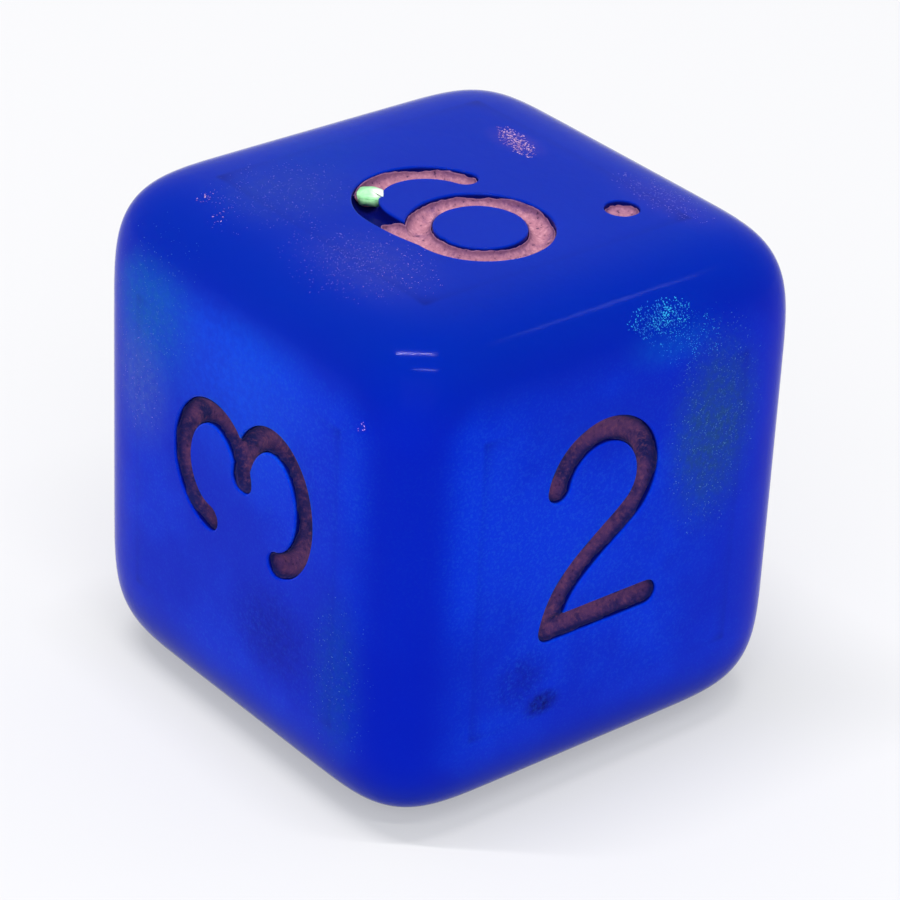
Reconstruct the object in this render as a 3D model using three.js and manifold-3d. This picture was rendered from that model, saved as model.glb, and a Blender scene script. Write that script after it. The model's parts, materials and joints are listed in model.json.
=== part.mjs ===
// Numbered six-sided die of the 16 mm class, +Z up through the six, origin at the centre of the body.
// A cast block of blue resin with rounded edges, tumbled until its corners are softer than its edges.
// A ball-nosed cutter engraves one digit in each face, paint lines each groove, and some of the flakes
// of shiny film that were stirred into the resin are cut open by the polished skin.
import * as THREE from 'three';
import { mergeVertices } from 'three/addons/utils/BufferGeometryUtils.js';
import Module from 'manifold-3d';

// Driving dimensions, in millimetres.
const WIDTH_X = 15.9;            // across the two and the five
const WIDTH_Y = 15.78;           // across the three and the four
const HEIGHT_Z = 16.32;          // across the six and the one
const BLEND_REACH = 5.0;         // how far in from the sharp edge the tumbling has worn each flat
const BLEND_POWER = 4.27;        // 2 would wear a round edge; more keeps the flat flat for longer
const BLEND_FLAT = 0.45;         // part of that reach whose wear is too slight to cut
const EDGE_STEPS = 4;            // facets from the middle of an edge to each flat

const GROOVE_RADIUS = 0.4;       // ball-nosed engraving cutter
const GROOVE_DEPTH = 0.52;
const GROOVE_LIP = 0.3;          // how far the cutter shank stands above the face
const PAINT_CLEARANCE = 0.02;    // between the resin and the paint that lines it
const PAINT_THICKNESS = 0.11;
const PAINT_BELOW_FACE = 0.04;
const DOT_PLACE = new THREE.Vector2(3.66, -3.43); // mark that tells the six from a nine
const DOT_RADIUS = 0.56;
const DOT_DEPTH = 0.42;
const DOT_NOSE = 0.3;

const FLAKE_THICKNESS = 0.09;
const FLAKE_CLEARANCE = 0.02;
const FLAKE_SIDES = 7;

const STROKE_STEP = 0.75;        // between sections along a curved pass
const SECTION_STEPS = 6;         // round the cutter's nose
const TURN_STEPS = 14;           // round the cutter's axis
const END_SLIMMING = 0.95;

const wasm = await Module();
wasm.setup();

// A closed three.js geometry as a solid that can be joined and cut.
function solidOf(geometry) {
  const bare = geometry.clone();
  bare.deleteAttribute('normal');
  bare.deleteAttribute('uv');
  const merged = mergeVertices(bare, 1e-5);
  return new wasm.Manifold(new wasm.Mesh({
    numProp: 3,
    vertProperties: new Float32Array(merged.attributes.position.array),
    triVerts: new Uint32Array(merged.index.array),
  }));
}

// And back again, with flat shading for the facets.
function geometryOf(solid) {
  const mesh = solid.getMesh();
  const geometry = new THREE.BufferGeometry();
  geometry.setAttribute('position', new THREE.BufferAttribute(mesh.vertProperties, 3));
  geometry.setIndex(new THREE.BufferAttribute(mesh.triVerts, 1));
  geometry.computeVertexNormals();
  return geometry;
}

// The main body of a cut solid, without the dust that grazing facets leave.
function withoutCrumbs(solid) {
  return solid.decompose().reduce((main, piece) => (piece.volume() > main.volume() ? piece : main));
}

function joined(solids) {
  return solids.reduce((whole, solid) => whole.add(solid));
}

function material(color, roughness, metalness = 0) {
  return new THREE.MeshStandardMaterial({ color, roughness, metalness });
}

const resin = material(0x0a22b8, 0.28);
const digitPaint = material(0x93586a, 0.85);
const fleckPlastic = material(0xa9d7a4, 0.6);
const filmColours = {
  rose: material(0xc487b8, 0.25, 0.6),
  violet: material(0x8a6fd0, 0.25, 0.6),
  cyan: material(0x2fa6d8, 0.25, 0.6),
  teal: material(0x1f7f9a, 0.25, 0.6),
};

// --- Body blank: a box whose flats run into one another over the worn edges and corners ---

const HALF = new THREE.Vector3(WIDTH_X / 2, WIDTH_Y / 2, HEIGHT_Z / 2);
const CORE = HALF.clone().subScalar(BLEND_REACH);

// Rows of the box grid along one axis, from the low end to the high end: evenly spaced in tilt round
// each edge, then one row where the flat starts, then one step across it.
function gridRows(core) {
  const rows = [];
  for (let i = EDGE_STEPS; i >= 1; i -= 1) {
    const slope = Math.tan((Math.PI / 4) * (i / EDGE_STEPS));
    rows.push(core + BLEND_REACH * slope ** (1 / (BLEND_POWER - 1)));
  }
  rows.push(core + BLEND_REACH * BLEND_FLAT);
  return [...rows.map((row) => -row), ...rows.reverse()];
}

// Wear that counts: how far past the core a point reaches along each axis, small reaches taken as none.
function worn(reaches) {
  const most = Math.max(...reaches);
  return reaches.map((reach) => (reach > BLEND_FLAT * most + 1e-9 ? reach ** BLEND_POWER : 0));
}

// The worn skin over a point of the sharp box.
function onSkin(point) {
  const core = point.clone().clamp(CORE.clone().negate(), CORE);
  const past = point.clone().sub(core);
  const total = worn(past.toArray().map(Math.abs)).reduce((sum, wear) => sum + wear);
  return core.addScaledVector(past, BLEND_REACH / total ** (1 / BLEND_POWER));
}

function bodyBlank() {
  const rows = { x: gridRows(CORE.x), y: gridRows(CORE.y), z: gridRows(CORE.z) };
  const steps = rows.x.length - 1;
  const box = new THREE.BoxGeometry(steps, steps, steps, steps, steps, steps);
  const position = box.attributes.position;
  const point = new THREE.Vector3();
  for (let i = 0; i < position.count; i += 1) {
    point.fromBufferAttribute(position, i);
    for (const axis of ['x', 'y', 'z']) {
      point[axis] = rows[axis][Math.round(point[axis] + steps / 2)];
    }
    const skin = onSkin(point);
    position.setXYZ(i, skin.x, skin.y, skin.z);
  }
  return solidOf(box);
}

// --- Strokes: the cutter's paths, drawn on the face plane with X right and Y up the digit ---

class EllipseArc extends THREE.Curve {
  constructor(centre, radii, from, to) {
    super();
    this.ellipse = new THREE.EllipseCurve(...centre, ...radii,
      THREE.MathUtils.degToRad(from), THREE.MathUtils.degToRad(to), to < from);
  }

  getPoint(t, target = new THREE.Vector3()) {
    const flat = this.ellipse.getPoint(t);
    return target.set(flat.x, flat.y, 0);
  }
}

function arc(centre, radii, from, to) {
  return new EllipseArc(centre, radii, from, to);
}

function line(from, to) {
  return new THREE.LineCurve3(new THREE.Vector3(...from, 0), new THREE.Vector3(...to, 0));
}

function bend(from, leave, arrive, to) {
  const points = [from, leave, arrive, to].map((point) => new THREE.Vector3(...point, 0));
  return new THREE.CubicBezierCurve3(...points);
}

// One pass of the cutter, plunged, drawn along its pieces without lifting, and raised again.
function pass(...pieces) {
  const path = new THREE.CurvePath();
  pieces.forEach((piece) => path.add(piece));
  const straight = pieces.every((piece) => piece instanceof THREE.LineCurve3);
  const steps = straight ? 1 : Math.ceil(path.getLength() / STROKE_STEP);
  return (cutter) => drawnAlong(path, steps, cutter);
}

// A closed round pass, as in the bowl of the six.
function loop(centre, radius) {
  return (cutter) => drawnRound(centre, radius, cutter);
}

// The cutter's outline on one side of its axis, from the tip of its nose up to its top.
function noseOutline({ radius, depth, nose = radius }) {
  const points = [];
  for (let i = 0; i <= SECTION_STEPS / 2; i += 1) {
    const angle = (Math.PI * i) / SECTION_STEPS;
    points.push([radius * Math.sin(angle), nose - depth - nose * Math.cos(angle)]);
  }
  return points;
}

function lathed(profile, place) {
  const lathe = new THREE.LatheGeometry(profile.map(([r, z]) => new THREE.Vector2(r, z)), TURN_STEPS);
  lathe.rotateX(Math.PI / 2);
  lathe.translate(place.x, place.y, 0);
  return solidOf(lathe);
}

// The cutter standing still in the face.
function plunged(place, cutter) {
  return lathed([...noseOutline(cutter), [cutter.radius, cutter.top], [0, cutter.top]], place);
}

// The cutter's section swept along a path: its X runs into the face and its Y across the pass.
// The plunges at the two ends are a hair slimmer than the pass, so that no two walls graze.
function drawnAlong(path, steps, cutter) {
  const right = noseOutline(cutter);
  const left = right.slice(1).reverse().map(([across, z]) => [-across, z]);
  const outline = [[-cutter.radius, cutter.top], ...left, ...right, [cutter.radius, cutter.top]];
  const section = new THREE.Shape(outline.map(([across, z]) => new THREE.Vector2(-z, across)));
  const swept = new THREE.ExtrudeGeometry(section, { extrudePath: path, steps });
  const slim = {
    radius: cutter.radius * END_SLIMMING, depth: cutter.depth * END_SLIMMING, top: cutter.top * END_SLIMMING,
  };
  return solidOf(swept)
    .add(plunged(path.getPoint(0), slim))
    .add(plunged(path.getPoint(1), slim));
}

// The same section turned about the loop's centre.
function drawnRound(centre, radius, cutter) {
  const outer = noseOutline(cutter).map(([across, z]) => [radius + across, z]);
  const inner = noseOutline(cutter).slice(1).reverse().map(([across, z]) => [radius - across, z]);
  const start = [radius - cutter.radius, cutter.top];
  const outline = [start, ...inner, ...outer, [radius + cutter.radius, cutter.top], start];
  return lathed(outline, new THREE.Vector2(...centre));
}

function swathe(passes, cutter) {
  return joined(passes.map((made) => made(cutter)));
}

function groove(passes) {
  return swathe(passes, { radius: GROOVE_RADIUS, depth: GROOVE_DEPTH, top: GROOVE_LIP });
}

// Paint lines the groove: the groove less its clearance, hollowed by a smaller cutter.
function paintLining(passes) {
  const outside = GROOVE_RADIUS - PAINT_CLEARANCE;
  const floor = GROOVE_DEPTH - PAINT_CLEARANCE;
  const coat = swathe(passes, { radius: outside, depth: floor, top: -PAINT_BELOW_FACE });
  const hollow = { radius: outside - PAINT_THICKNESS, depth: floor - PAINT_THICKNESS, top: GROOVE_LIP };
  return coat.subtract(swathe(passes, hollow));
}

// The dot beside the six is one plunge of a wider, flatter cutter.
function dotPlunge(margin, top) {
  const cutter = { radius: DOT_RADIUS - margin, depth: DOT_DEPTH - margin, nose: DOT_NOSE - margin, top };
  return plunged(DOT_PLACE, cutter);
}

function dotLining() {
  const coat = dotPlunge(PAINT_CLEARANCE, -PAINT_BELOW_FACE);
  return coat.subtract(dotPlunge(PAINT_CLEARANCE + PAINT_THICKNESS, GROOVE_LIP));
}

// --- The six's own strokes: a hook, the stretch under the green fleck, a stem, and a round bowl ---

const HOOK_CENTRE = [-0.76, 0.07];
const HOOK_RADII = [1.93, 1.98];
const FLECK_PLACE = new THREE.Vector3(-1.98, 1.42, -0.2);
const FLECK_SIZE = new THREE.Vector3(0.54, 0.54, 0.5);
const BARE_PATCH_PLACE = new THREE.Vector3(-3.03, 0.1, -0.1);
const BARE_PATCH_SIZE = new THREE.Vector3(0.48, 0.85, 0.9);

const sixHook = [pass(arc(HOOK_CENTRE, HOOK_RADII, 20, 125))];
const sixUnderFleck = [pass(arc(HOOK_CENTRE, HOOK_RADII, 110, 170))];
const sixStemFoot = bend([-2.69, 0.07], [-2.69, -0.7], [-2.61, -1.28], [-2.38, -2.1]);
const sixRing = loop([-0.61, -2.06], 1.81);
const sixBowl = [pass(arc(HOOK_CENTRE, HOOK_RADII, 155, 180), sixStemFoot), sixRing];
const sixWhole = [pass(arc(HOOK_CENTRE, HOOK_RADII, 20, 180), sixStemFoot), sixRing];

// A rough pebble, faceted like a broken chip of plastic.
function pebble(place, size) {
  const rock = new THREE.IcosahedronGeometry(1, 1);
  const position = rock.attributes.position;
  const point = new THREE.Vector3();
  for (let i = 0; i < position.count; i += 1) {
    point.fromBufferAttribute(position, i);
    point.multiplyScalar(1 + 0.12 * Math.sin(5 * point.x + 3 * point.y) * Math.cos(4 * point.z));
    point.multiply(size).add(place);
    position.setXYZ(i, point.x, point.y, point.z);
  }
  return solidOf(rock);
}

// The fleck's hollow in the paint, which clears it all round.
function fleckHollow() {
  return pebble(FLECK_PLACE, FLECK_SIZE.clone().addScalar(2 * PAINT_CLEARANCE));
}

function sixHookPaint() {
  return paintLining(sixHook).subtract(fleckHollow());
}

// The paint has come away from the outer wall just below the fleck.
function sixBowlPaint() {
  return paintLining(sixBowl).subtract(fleckHollow()).subtract(pebble(BARE_PATCH_PLACE, BARE_PATCH_SIZE));
}

// The fleck is wedged across the groove and flush with the face.
function greenFleck() {
  const seat = swathe(sixUnderFleck, {
    radius: GROOVE_RADIUS - PAINT_CLEARANCE, depth: GROOVE_DEPTH - PAINT_CLEARANCE, top: -PAINT_CLEARANCE,
  });
  return seat.intersect(pebble(FLECK_PLACE, FLECK_SIZE));
}

// --- Faces: which way each one looks, which way its digit stands, and what is in it ---

const X = new THREE.Vector3(1, 0, 0);
const Y = new THREE.Vector3(0, 1, 0);
const Z = new THREE.Vector3(0, 0, 1);

const faces = [
  {
    digit: 'one', out: Z.clone().negate(), right: X, distance: HALF.z,
    passes: [
      pass(bend([-1.2, 1.93], [-0.67, 2.21], [-0.1, 2.7], [0.14, 3.27])),
      pass(line([0.14, 3.27], [0.14, -3.27])),
    ],
    flakes: [],
  },
  {
    digit: 'two', out: X, right: Y, distance: HALF.x,
    passes: [
      pass(
        arc([-0.44, 2.33], [1.69, 1.69], 172, -40),
        bend([0.85, 1.24], [0.19, 0.6], [-1.21, -0.13], [-1.77, -1.04]),
        bend([-1.77, -1.04], [-1.94, -1.33], [-2.11, -1.71], [-2.17, -2.12]),
      ),
      pass(line([-2.17, -2.12], [1.55, -2.12])),
    ],
    flakes: [
      ['cyan', [1.1, 6.6], [0.42, 0.22], 20], ['cyan', [1.8, 6.9], [0.36, 0.2], -35],
      ['cyan', [2.5, 6.3], [0.3, 0.2], 70], ['teal', [3.3, 4.4], [0.45, 0.3], 40],
      ['teal', [4.2, 3.2], [0.5, 0.28], 110], ['teal', [3.2, 2.0], [0.4, 0.26], 10],
      ['teal', [4.3, 0.9], [0.34, 0.24], 75],
    ],
  },
  {
    digit: 'three', out: Y.clone().negate(), right: Z, distance: HALF.y,
    passes: [
      pass(arc([0.97, 1.01], [1.8, 1.54], 175, -82)),
      pass(arc([1.16, -1.93], [2.0, 1.56], 88, -170)),
    ],
    flakes: [['teal', [5.1, 4.2], [0.5, 0.3], 25], ['rose', [5.5, -5.8], [0.3, 0.2], 60]],
  },
  {
    digit: 'four', out: Y, right: Z, distance: HALF.y,
    passes: [
      pass(line([0.88, 3.28], [-2.08, -1.12])),
      pass(line([-2.08, -1.12], [2.08, -1.12])),
      pass(line([0.88, 3.28], [0.88, -3.28])),
    ],
    flakes: [['violet', [-4.2, 3.1], [0.5, 0.26], 35], ['teal', [4.2, -4.4], [0.42, 0.3], 120]],
  },
  {
    digit: 'five', out: X.clone().negate(), right: Y.clone().negate(), distance: HALF.x,
    passes: [
      pass(line([1.69, 3.18], [-1.3, 3.18])),
      pass(line([-1.3, 3.18], [-1.65, 0.25])),
      pass(arc([-0.1, -1.11], [2.02, 2.12], 140, -150)),
    ],
    flakes: [['rose', [4.1, 1.5], [0.5, 0.24], 65], ['cyan', [-4.3, -3.9], [0.4, 0.26], 15]],
  },
  {
    digit: 'six', out: Z, right: Y, distance: HALF.z,
    passes: sixWhole,
    flakes: [
      ['rose', [3.75, 0.95], [0.48, 0.24], 75], ['rose', [4.05, 2.0], [0.5, 0.22], 68],
      ['rose', [4.35, 2.95], [0.36, 0.2], 75], ['violet', [5.4, -2.6], [0.42, 0.24], 60],
      ['violet', [5.5, -4.2], [0.36, 0.24], 20], ['rose', [-5.8, 4.3], [0.34, 0.2], 30],
      ['violet', [-6.2, 3.0], [0.32, 0.22], 80],
    ],
  },
];

// Turns a face's own frame, with its digit upright and Z outwards, into its place on the die.
function faceFrame(face) {
  const up = face.out.clone().cross(face.right);
  const frame = new THREE.Matrix4().makeBasis(face.right, up, face.out);
  return frame.setPosition(face.out.clone().multiplyScalar(face.distance));
}

// --- Film flakes: thin scraps with ragged outlines, each in a shallow seat in the skin ---

// Moves a scrap drawn at a face's origin to its place on the face, flush with the worn skin there.
function layOnSkin(scrap, face, [across, along]) {
  const up = face.out.clone().cross(face.right);
  const past = [Math.abs(across) - Math.abs(CORE.dot(face.right)), Math.abs(along) - Math.abs(CORE.dot(up))];
  const [side, top, most] = worn([...past.map((reach) => Math.max(reach, 0)), BLEND_REACH]);
  const height = (most - side - top) ** (1 / BLEND_POWER);
  const slope = 1 - 1 / BLEND_POWER;
  const normal = new THREE.Vector3(
    Math.sign(across) * side ** slope, Math.sign(along) * top ** slope, height ** (BLEND_POWER - 1));
  scrap.applyQuaternion(new THREE.Quaternion().setFromUnitVectors(Z, normal.normalize()));
  return scrap.translate(across, along, height - BLEND_REACH);
}

function flakeSolid(face, [, centre, radii, turn], seed, margin, bottom, top) {
  const outline = new THREE.Shape();
  for (let i = 0; i < FLAKE_SIDES; i += 1) {
    const angle = (2 * Math.PI * i) / FLAKE_SIDES;
    const ragged = 1 + 0.16 * Math.sin(2.4 * i * seed + seed);
    const across = (radii[0] * ragged + margin) * Math.cos(angle);
    const along = (radii[1] * ragged + margin) * Math.sin(angle);
    outline[i === 0 ? 'moveTo' : 'lineTo'](across, along);
  }
  const scrap = new THREE.ExtrudeGeometry(outline, { depth: top - bottom, bevelEnabled: false });
  scrap.translate(0, 0, bottom).rotateZ(THREE.MathUtils.degToRad(turn));
  return solidOf(layOnSkin(scrap, face, centre));
}

const flakeTop = -FLAKE_CLEARANCE / 2;
const flakeBottom = flakeTop - FLAKE_THICKNESS;

function flakeBody(face, flake, seed) {
  return flakeSolid(face, flake, seed, 0, flakeBottom, flakeTop);
}

function flakeSeat(face, flake, seed) {
  const margin = 1.5 * FLAKE_CLEARANCE;
  return flakeSolid(face, flake, seed, margin, flakeBottom - FLAKE_CLEARANCE, GROOVE_LIP);
}

// --- The die: every face cuts the body and carries its own paint and flakes ---

const die = new THREE.Group();
let body = bodyBlank();
let flakeNumber = 0;

function addPiece(group, name, solid, finish) {
  const mesh = new THREE.Mesh(geometryOf(withoutCrumbs(solid)), finish);
  mesh.name = name;
  group.add(mesh);
}

for (const face of faces) {
  const side = new THREE.Group();
  const frame = faceFrame(face);
  side.applyMatrix4(frame);
  die.add(side);

  const cuts = [groove(face.passes)];
  if (face.digit === 'six') {
    cuts.push(dotPlunge(0, GROOVE_LIP));
    addPiece(side, 'six_hook_paint', sixHookPaint(), digitPaint);
    addPiece(side, 'six_bowl_paint', sixBowlPaint(), digitPaint);
    addPiece(side, 'six_dot_paint', dotLining(), digitPaint);
    addPiece(side, 'green_fleck', greenFleck(), fleckPlastic);
  } else {
    addPiece(side, `${face.digit}_paint`, paintLining(face.passes), digitPaint);
  }
  for (const flake of face.flakes) {
    flakeNumber += 1;
    cuts.push(flakeSeat(face, flake, flakeNumber));
    const name = `film_flake_${String(flakeNumber).padStart(2, '0')}`;
    addPiece(side, name, flakeBody(face, flake, flakeNumber), filmColours[flake[0]]);
  }
  for (const cut of cuts) {
    body = body.subtract(solidOf(geometryOf(cut).applyMatrix4(frame)));
  }
}

addPiece(die, 'die_body', body, resin);

export default die;
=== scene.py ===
import json
import math

import bmesh
import bpy
import numpy as np
from mathutils import Matrix, Vector, noise


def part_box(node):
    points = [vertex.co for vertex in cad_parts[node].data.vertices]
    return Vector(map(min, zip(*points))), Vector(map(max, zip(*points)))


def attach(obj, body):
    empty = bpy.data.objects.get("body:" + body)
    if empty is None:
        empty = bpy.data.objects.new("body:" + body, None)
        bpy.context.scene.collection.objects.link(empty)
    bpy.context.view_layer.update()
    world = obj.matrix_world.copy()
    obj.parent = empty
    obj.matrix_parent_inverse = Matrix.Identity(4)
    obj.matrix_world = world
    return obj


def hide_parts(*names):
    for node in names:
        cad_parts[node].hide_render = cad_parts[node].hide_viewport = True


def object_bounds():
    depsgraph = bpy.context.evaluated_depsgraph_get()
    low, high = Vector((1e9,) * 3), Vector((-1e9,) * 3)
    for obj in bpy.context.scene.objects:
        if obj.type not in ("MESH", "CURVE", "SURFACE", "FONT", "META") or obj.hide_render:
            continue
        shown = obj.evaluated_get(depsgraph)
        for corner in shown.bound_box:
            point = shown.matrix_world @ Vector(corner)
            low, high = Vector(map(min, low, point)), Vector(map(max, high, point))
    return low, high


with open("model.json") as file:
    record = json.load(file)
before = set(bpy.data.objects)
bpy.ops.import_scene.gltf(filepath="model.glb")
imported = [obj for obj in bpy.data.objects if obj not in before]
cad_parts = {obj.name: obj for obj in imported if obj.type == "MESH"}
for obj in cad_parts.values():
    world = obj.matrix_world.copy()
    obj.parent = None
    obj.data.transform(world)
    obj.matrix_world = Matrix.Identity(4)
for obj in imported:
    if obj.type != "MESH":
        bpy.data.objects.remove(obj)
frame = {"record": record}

CAD_LOW, CAD_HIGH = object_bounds()

# ---------------------------------------------------------------------------------------------
# Resin block
# The die is one block of cloudy blue resin, cast in a rubber mould as a near-perfect cube. It is
# then tumbled with ceramic chips for days, which rounds the edges and takes the corners down
# further. Shapes are worked out in millimetres and laid down in metres.
# ---------------------------------------------------------------------------------------------

MM = 0.001
block_low, block_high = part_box("die_body")
BLOCK_HALF = np.array(block_high - block_low) / 2 / MM
WORN_REACH = 5.0                # how far in from the sharp edge the tumbling has worn each flat
WORN_POWER = 4.27               # 2 would wear a round edge; more keeps the flat flat for longer
EDGE_STEPS = 12                 # facets from the middle of an edge to each flat
FLAT_ROW = 0.3                  # one more row on each flat, as a share of the worn reach
BLOCK_CORE = BLOCK_HALF - WORN_REACH


def grid_rows(core):
    """Rows of the block's grid along one axis: close together round the edges, wide across the flat."""
    tilts = np.radians(np.linspace(45, 0, EDGE_STEPS + 1)[:-1])
    upper = core + WORN_REACH * np.append(np.tan(tilts) ** (1 / (WORN_POWER - 1)), [FLAT_ROW, 0])
    return np.concatenate([-upper, upper[::-1]])


def tumbled(points):
    """Each point of a sharp box moved to the skin of the tumbled block."""
    core = np.clip(points, -BLOCK_CORE, BLOCK_CORE)
    past = points - core
    wear = (np.abs(past) ** WORN_POWER).sum(axis=1) ** (1 / WORN_POWER)
    return core + WORN_REACH * past / wear[:, None]


def solid_mesh(name, points, faces):
    """A closed mesh in millimetres, with its faces turned outwards and its shading smooth."""
    mesh = bpy.data.meshes.new(name)
    mesh.from_pydata([tuple(p) for p in points], [], faces)
    work = bmesh.new()
    work.from_mesh(mesh)
    bmesh.ops.recalc_face_normals(work, faces=work.faces)
    work.to_mesh(mesh)
    work.free()
    mesh.shade_smooth()
    return mesh


def shown(name, mesh):
    """A mesh put on the bench under a name."""
    piece = bpy.data.objects.new(name, mesh)
    bpy.context.scene.collection.objects.link(piece)
    return piece


def block_blank():
    """The tumbled block before it is engraved."""
    rows = [grid_rows(core) for core in BLOCK_CORE]
    last = len(rows[0]) - 1
    index, points, faces = {}, [], []

    def corner(key):
        if key not in index:
            index[key] = len(points)
            points.append([rows[axis][key[axis]] for axis in range(3)])
        return index[key]

    for axis in range(3):
        first, second = (axis + 1) % 3, (axis + 2) % 3
        for side in (0, last):
            for i in range(last):
                for j in range(last):
                    loop = []
                    for di, dj in ((0, 0), (1, 0), (1, 1), (0, 1)):
                        key = [0, 0, 0]
                        key[axis], key[first], key[second] = side, i + di, j + dj
                        loop.append(corner(tuple(key)))
                    faces.append(loop)
    return solid_mesh("resin_block", tumbled(np.array(points)), faces)


# ---------------------------------------------------------------------------------------------
# Engraving
# Each face carries one digit, cut with a ball-nosed cutter guided by a pattern. The cutter leaves
# round ends, a rounded floor and, after tumbling, a slightly softened rim.
# ---------------------------------------------------------------------------------------------

GROOVE_RADIUS = 0.4
GROOVE_DEPTH = 0.52
RIM_RADIUS = 0.06
CUTTER_TOP = 0.4                # how far the cutter stands out of the face
CUTTER_FLARE = 1.3              # its width above the rim, past the groove, in rim radii
PATH_STEP = 0.1
CAP_STEPS = 12
NOSE_STEPS = 7
RIM_STEPS = 3
WIDTH_WANDER = 0.025            # how much a hand-guided groove changes in width
WANDER_PACE = 1.3               # changes for each millimetre along it


def arc(centre, radii, start, end):
    """Part of an ellipse, between two angles in degrees."""
    angles = np.radians(np.linspace(start, end, 2 + int(abs(end - start) / 3)))
    return np.stack([centre[0] + radii[0] * np.cos(angles), centre[1] + radii[1] * np.sin(angles)], 1)


def line(start, end):
    t = np.linspace(0, 1, 2 + int(math.dist(start, end) / PATH_STEP))[:, None]
    return np.array(start) * (1 - t) + np.array(end) * t


def bend(start, leave, arrive, end):
    """A curve that leaves towards one point and arrives from another."""
    t = np.linspace(0, 1, 30)[:, None]
    a, b, c, d = (np.array(p) for p in (start, leave, arrive, end))
    return (1 - t) ** 3 * a + 3 * (1 - t) ** 2 * t * b + 3 * (1 - t) * t ** 2 * c + t ** 3 * d


def evenly(*pieces):
    """The pieces of one pass of the cutter, joined and spaced evenly."""
    path = np.concatenate(pieces)
    gaps = np.linalg.norm(np.diff(path, axis=0), axis=1)
    path = path[np.concatenate([[True], gaps > 1e-6])]
    along = np.concatenate([[0], np.cumsum(np.linalg.norm(np.diff(path, axis=0), axis=1))])
    places = np.linspace(0, along[-1], 2 + int(along[-1] / PATH_STEP))
    return np.stack([np.interp(places, along, path[:, k]) for k in (0, 1)], 1)


HOOK_CENTRE, HOOK_RADII = (-0.76, 0.07), (1.93, 1.98)
STEM_FOOT = bend((-2.69, 0.07), (-2.69, -0.7), (-2.61, -1.28), (-2.38, -2.1))
RING_CENTRE, RING_RADIUS = (-0.61, -2.06), 1.81
RING = {"centre": RING_CENTRE, "radius": RING_RADIUS}
TWO_NECK = bend((0.85, 1.24), (0.19, 0.6), (-1.21, -0.13), (-1.77, -1.04))
TWO_FOOT = bend((-1.77, -1.04), (-1.94, -1.33), (-2.11, -1.71), (-2.17, -2.12))

PASSES = {
    "one": [
        evenly(bend((-1.2, 1.93), (-0.67, 2.21), (-0.1, 2.7), (0.14, 3.27))),
        evenly(line((0.14, 3.27), (0.14, -3.27))),
    ],
    "two": [
        evenly(arc((-0.44, 2.33), (1.69, 1.69), 172, -40), TWO_NECK, TWO_FOOT),
        evenly(line((-2.17, -2.12), (1.55, -2.12))),
    ],
    "three": [
        evenly(arc((0.97, 1.01), (1.8, 1.54), 175, -82)),
        evenly(arc((1.16, -1.93), (2.0, 1.56), 88, -170)),
    ],
    "four": [
        evenly(line((0.88, 3.28), (-2.08, -1.12))),
        evenly(line((-2.08, -1.12), (2.08, -1.12))),
        evenly(line((0.88, 3.28), (0.88, -3.28))),
    ],
    "five": [
        evenly(line((1.69, 3.18), (-1.3, 3.18))),
        evenly(line((-1.3, 3.18), (-1.65, 0.25))),
        evenly(arc((-0.1, -1.11), (2.02, 2.12), 140, -150)),
    ],
    "six": [evenly(arc(HOOK_CENTRE, HOOK_RADII, 20, 180), STEM_FOOT), RING],
}

# How each face's digit stands: the direction to its right, seen from outside.
DIGIT_RIGHT = {
    "one": (1, 0, 0), "two": (0, 1, 0), "three": (0, 0, 1),
    "four": (0, 0, 1), "five": (0, -1, 0), "six": (0, 1, 0),
}


def face_frame(digit):
    """Places a drawing made on its own plane, Z outwards, on the face that carries the digit."""
    mount = next(m for m in frame["record"]["mounts"] if m["name"] == "face_" + digit)
    out, right = Vector(mount["axis"]), Vector(DIGIT_RIGHT[digit])
    up = out.cross(right)
    distance = abs(out.dot(Vector(BLOCK_HALF)))
    turned = Matrix((right, up, out)).transposed().to_4x4()
    turned.translation = out * distance
    return turned


def wander(place, seed):
    """The groove's width at a place, as a share of its nominal width."""
    x, y = place
    return 1 + WIDTH_WANDER * noise.noise(Vector((x * WANDER_PACE, y * WANDER_PACE, seed)))


def stroke_solid(name, path, outline, seed):
    """A closed solid round one pass: outline gives its (distance from the path, height) rings."""
    if isinstance(path, dict):
        return ring_solid(name, path, outline, seed)
    along = np.gradient(path, axis=0)
    along /= np.linalg.norm(along, axis=1)[:, None]
    aside = np.stack([-along[:, 1], along[:, 0]], 1)
    last = len(path) - 1
    spokes = [(i, math.atan2(aside[i][1], aside[i][0])) for i in range(last + 1)]
    turn = [math.pi * k / CAP_STEPS for k in range(1, CAP_STEPS)]
    spokes += [(last, spokes[last][1] - a) for a in turn]
    spokes += [(i, spokes[i][1] + math.pi) for i in range(last, -1, -1)]
    spokes += [(0, spokes[0][1] - math.pi - a) for a in turn]
    points, rings = [], []
    for radius, height in outline:
        start = len(points)
        if radius == 0:
            points += [(x, y, height) for x, y in path]
            rings.append([start + i for i, _ in spokes])
            continue
        for i, angle in spokes:
            x, y = path[i]
            reach = radius * wander(path[i], seed)
            points.append((x + reach * math.cos(angle), y + reach * math.sin(angle), height))
        rings.append(list(range(start, start + len(spokes))))
    return solid_mesh(name, points, woven(rings))


def woven(rings):
    """Faces between neighbouring rings; where a ring has shrunk to the path, they close up."""
    faces = []
    for lower, upper in zip(rings, rings[1:]):
        for k in range(len(lower)):
            n = (k + 1) % len(lower)
            loop = []
            for corner in (lower[k], lower[n], upper[n], upper[k]):
                if corner not in loop:
                    loop.append(corner)
            if len(loop) > 2:
                faces.append(loop)
    return faces


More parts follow.
